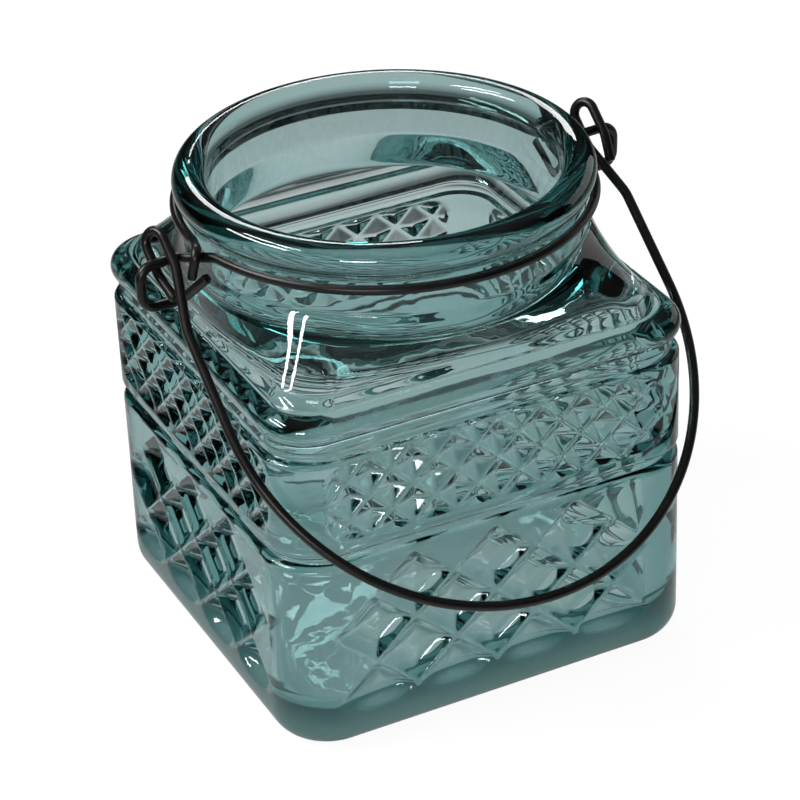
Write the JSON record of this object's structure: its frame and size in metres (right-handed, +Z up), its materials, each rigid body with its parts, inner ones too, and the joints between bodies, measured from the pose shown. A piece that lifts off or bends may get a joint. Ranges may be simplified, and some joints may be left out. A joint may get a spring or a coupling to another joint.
{
  "type": "mason jar lantern",
  "caption": "Square pressed-glass lantern jar with a round mouth, a two-piece wire collar under the rim and a swinging wire bail handle.",
  "frame": {"origin": "centre of the jar's base, on the surface it stands on", "axes": "+Z up along the jar's axis; the four flat sides face +X, -X, +Y and -Y; the bail rests towards -Y"},
  "size_m": [0.1224, 0.1201, 0.114],
  "materials": {
    "teal_glass": "polished pressed glass, tinted through",
    "dark_wire": "satin dark coating on steel wire"
  },
  "bodies": {
    "jar": {"glass_jar": "teal_glass", "neck_wire_front": "dark_wire", "neck_wire_rear": "dark_wire"},
    "bail": {"bail_handle": "dark_wire"}
  },
  "joints": [
    {"name": "bail_swing", "type": "hinge", "parent": "jar", "child": "bail", "pos_m": [0, 0, 0.104], "axis": [-0.9973, -0.0732, 0], "range_deg": [0, 268]}
  ]
}
